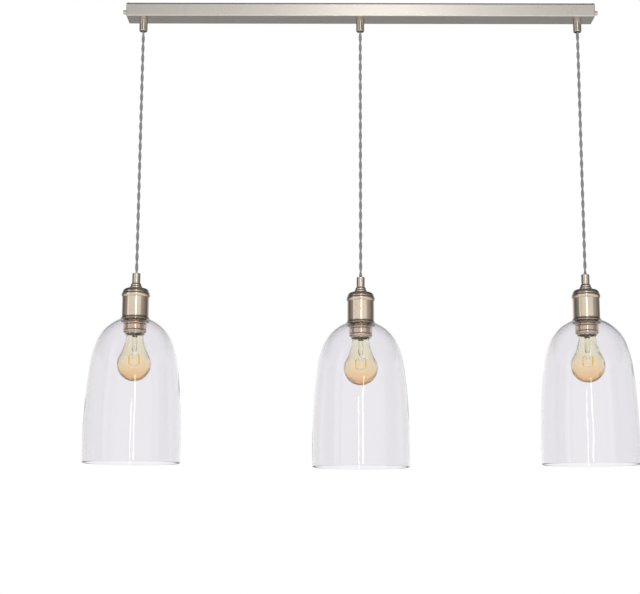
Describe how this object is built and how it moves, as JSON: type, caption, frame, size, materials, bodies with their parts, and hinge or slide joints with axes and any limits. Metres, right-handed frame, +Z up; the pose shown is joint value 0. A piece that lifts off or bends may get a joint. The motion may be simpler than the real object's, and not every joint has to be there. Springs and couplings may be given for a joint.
{
  "type": "linear island pendant light",
  "caption": "Linear island pendant: a long satin nickel ceiling bar with clear glass cloche shades hanging on grey twisted fabric cords, each with a vintage holder and filament lamp",
  "frame": {"origin": "on the ceiling plane, at the middle of the bracket's two ceiling screw slots", "axes": "+Z up, +X along the bar, -Y towards the viewer of the picture"},
  "size_m": [0.9698, 0.1698, 0.846],
  "materials": {
    "satin_nickel": "warm satin nickel, fine brushed",
    "zinc_steel": "zinc-plated steel",
    "grey_braid": "woven grey fabric over two twisted cores",
    "core_insulation": "insulated single cores",
    "block_plastic": "moulded terminal block",
    "bush_rubber": "soft strain relief bush",
    "ceramic": "unglazed white ceramic",
    "contact_brass": "stamped brass",
    "clear_glass": "clear mouth-blown glass",
    "amber_glass": "amber-tinted lamp glass",
    "lamp_cap_metal": "nickel-plated lamp cap",
    "lamp_tip_solder": "black insulator with a solder tip",
    "filament": "yellow-coated light filaments on a clear glass stem"
  },
  "bodies": {
    "root": {"ceiling_bar": "satin_nickel", "ceiling_bracket": "zinc_steel", "grip_nuts": "zinc_steel", "grip_grub_screws": "zinc_steel", "terminal_block": "block_plastic", "terminal_screws": "zinc_steel", "earth_screw": "zinc_steel", "left_canopy_grip": "satin_nickel", "left_leads": "core_insulation", "middle_canopy_grip": "satin_nickel", "middle_leads": "core_insulation", "right_canopy_grip": "satin_nickel", "right_leads": "core_insulation"},
    "left_bush": {"left_cord_bush": "bush_rubber"},
    "left_pendant": {"left_cord": "grey_braid", "left_holder_grip": "satin_nickel", "left_holder_cap": "satin_nickel", "left_holder_shell": "satin_nickel", "left_holder_core": "ceramic", "left_screw_shell": "contact_brass", "left_centre_contact": "contact_brass"},
    "left_glass": {"left_shade": "clear_glass"},
    "left_ring": {"left_shade_ring": "satin_nickel"},
    "left_lamp_tip": {"left_bulb_contact": "lamp_tip_solder"},
    "left_lamp": {"left_bulb_cap": "lamp_cap_metal", "left_bulb_glass": "amber_glass", "left_bulb_filament": "filament"},
    "middle_bush": {"middle_cord_bush": "bush_rubber"},
    "middle_pendant": {"middle_cord": "grey_braid", "middle_holder_grip": "satin_nickel", "middle_holder_cap": "satin_nickel", "middle_holder_shell": "satin_nickel", "middle_holder_core": "ceramic", "middle_screw_shell": "contact_brass", "middle_centre_contact": "contact_brass"},
    "middle_glass": {"middle_shade": "clear_glass"},
    "middle_ring": {"middle_shade_ring": "satin_nickel"},
    "middle_lamp_tip": {"middle_bulb_contact": "lamp_tip_solder"},
    "middle_lamp": {"middle_bulb_cap": "lamp_cap_metal", "middle_bulb_glass": "amber_glass", "middle_bulb_filament": "filament"},
    "right_bush": {"right_cord_bush": "bush_rubber"},
    "right_pendant": {"right_cord": "grey_braid", "right_holder_grip": "satin_nickel", "right_holder_cap": "satin_nickel", "right_holder_shell": "satin_nickel", "right_holder_core": "ceramic", "right_screw_shell": "contact_brass", "right_centre_contact": "contact_brass"},
    "right_glass": {"right_shade": "clear_glass"},
    "right_ring": {"right_shade_ring": "satin_nickel"},
    "right_lamp_tip": {"right_bulb_contact": "lamp_tip_solder"},
    "right_lamp": {"right_bulb_cap": "lamp_cap_metal", "right_bulb_glass": "amber_glass", "right_bulb_filament": "filament"},
    "left_screw_washer": {"left_end_washer": "zinc_steel"},
    "left_thumb_screw": {"left_end_screw": "satin_nickel"},
    "right_screw_washer": {"right_end_washer": "zinc_steel"},
    "right_thumb_screw": {"right_end_screw": "satin_nickel"}
  },
  "joints": [
    {"name": "left_swing_across", "type": "hinge", "parent": "root", "child": "left_bush", "pos_m": [-0.4, 0, -0.0468], "axis": [1, 0, 0], "range_deg": [-20, 20]},
    {"name": "left_swing_along", "type": "hinge", "parent": "left_bush", "child": "left_pendant", "pos_m": [-0.4, 0, -0.0468], "axis": [0, 1, 0], "range_deg": [-8, 8]},
    {"name": "left_shade_drop", "type": "slide", "parent": "left_pendant", "child": "left_glass", "axis": [0, 0, -1], "range_m": [0, 0.02]},
    {"name": "left_ring_turn", "type": "hinge", "parent": "left_glass", "child": "left_ring", "pos_m": [-0.4, 0, -0.6], "axis": [0, 0, -1], "range_deg": [0, 2880]},
    {"name": "left_lamp_drop", "type": "slide", "parent": "left_pendant", "child": "left_lamp_tip", "axis": [0, 0, -1], "range_m": [0, 0.018]},
    {"name": "left_lamp_turn", "type": "hinge", "parent": "left_lamp_tip", "child": "left_lamp", "pos_m": [-0.4, 0, -0.6], "axis": [0, 0, -1], "range_deg": [0, 1800]},
    {"name": "middle_swing_across", "type": "hinge", "parent": "root", "child": "middle_bush", "pos_m": [0, 0, -0.0468], "axis": [1, 0, 0], "range_deg": [-20, 20]},
    {"name": "middle_swing_along", "type": "hinge", "parent": "middle_bush", "child": "middle_pendant", "pos_m": [0, 0, -0.0468], "axis": [0, 1, 0], "range_deg": [-8, 8]},
    {"name": "middle_shade_drop", "type": "slide", "parent": "middle_pendant", "child": "middle_glass", "axis": [0, 0, -1], "range_m": [0, 0.02]},
    {"name": "middle_ring_turn", "type": "hinge", "parent": "middle_glass", "child": "middle_ring", "pos_m": [0, 0, -0.6], "axis": [0, 0, -1], "range_deg": [0, 2880]},
    {"name": "middle_lamp_drop", "type": "slide", "parent": "middle_pendant", "child": "middle_lamp_tip", "axis": [0, 0, -1], "range_m": [0, 0.018]},
    {"name": "middle_lamp_turn", "type": "hinge", "parent": "middle_lamp_tip", "child": "middle_lamp", "pos_m": [0, 0, -0.6], "axis": [0, 0, -1], "range_deg": [0, 1800]},
    {"name": "right_swing_across", "type": "hinge", "parent": "root", "child": "right_bush", "pos_m": [0.4, 0, -0.0468], "axis": [1, 0, 0], "range_deg": [-20, 20]},
    {"name": "right_swing_along", "type": "hinge", "parent": "right_bush", "child": "right_pendant", "pos_m": [0.4, 0, -0.0468], "axis": [0, 1, 0], "range_deg": [-8, 8]},
    {"name": "right_shade_drop", "type": "slide", "parent": "right_pendant", "child": "right_glass", "axis": [0, 0, -1], "range_m": [0, 0.02]},
    {"name": "right_ring_turn", "type": "hinge", "parent": "right_glass", "child": "right_ring", "pos_m": [0.4, 0, -0.6], "axis": [0, 0, -1], "range_deg": [0, 2880]},
    {"name": "right_lamp_drop", "type": "slide", "parent": "right_pendant", "child": "right_lamp_tip", "axis": [0, 0, -1], "range_m": [0, 0.018]},
    {"name": "right_lamp_turn", "type": "hinge", "parent": "right_lamp_tip", "child": "right_lamp", "pos_m": [0.4, 0, -0.6], "axis": [0, 0, -1], "range_deg": [0, 1800]},
    {"name": "left_screw_travel", "type": "slide", "parent": "root", "child": "left_screw_washer", "axis": [-1, 0, 0], "range_m": [0, 0.0049]},
    {"name": "left_screw_turn", "type": "hinge", "parent": "left_screw_washer", "child": "left_thumb_screw", "pos_m": [-0.43, 0, -0.012], "axis": [-1, 0, 0], "range_deg": [0, 2520]},
    {"name": "right_screw_travel", "type": "slide", "parent": "root", "child": "right_screw_washer", "axis": [1, 0, 0], "range_m": [0, 0.0049]},
    {"name": "right_screw_turn", "type": "hinge", "parent": "right_screw_washer", "child": "right_thumb_screw", "pos_m": [0.43, 0, -0.012], "axis": [1, 0, 0], "range_deg": [0, 2520]}
  ],
  "couplings": [
    {"joint": "left_ring_turn", "follows": "left_shade_drop", "rad_per_m": 2513.3},
    {"joint": "left_lamp_turn", "follows": "left_lamp_drop", "rad_per_m": 1745.3},
    {"joint": "middle_ring_turn", "follows": "middle_shade_drop", "rad_per_m": 2513.3},
    {"joint": "middle_lamp_turn", "follows": "middle_lamp_drop", "rad_per_m": 1745.3},
    {"joint": "right_ring_turn", "follows": "right_shade_drop", "rad_per_m": 2513.3},
    {"joint": "right_lamp_turn", "follows": "right_lamp_drop", "rad_per_m": 1745.3},
    {"joint": "left_screw_turn", "follows": "left_screw_travel", "rad_per_m": 8976},
    {"joint": "right_screw_turn", "follows": "right_screw_travel", "rad_per_m": 8976}
  ]
}
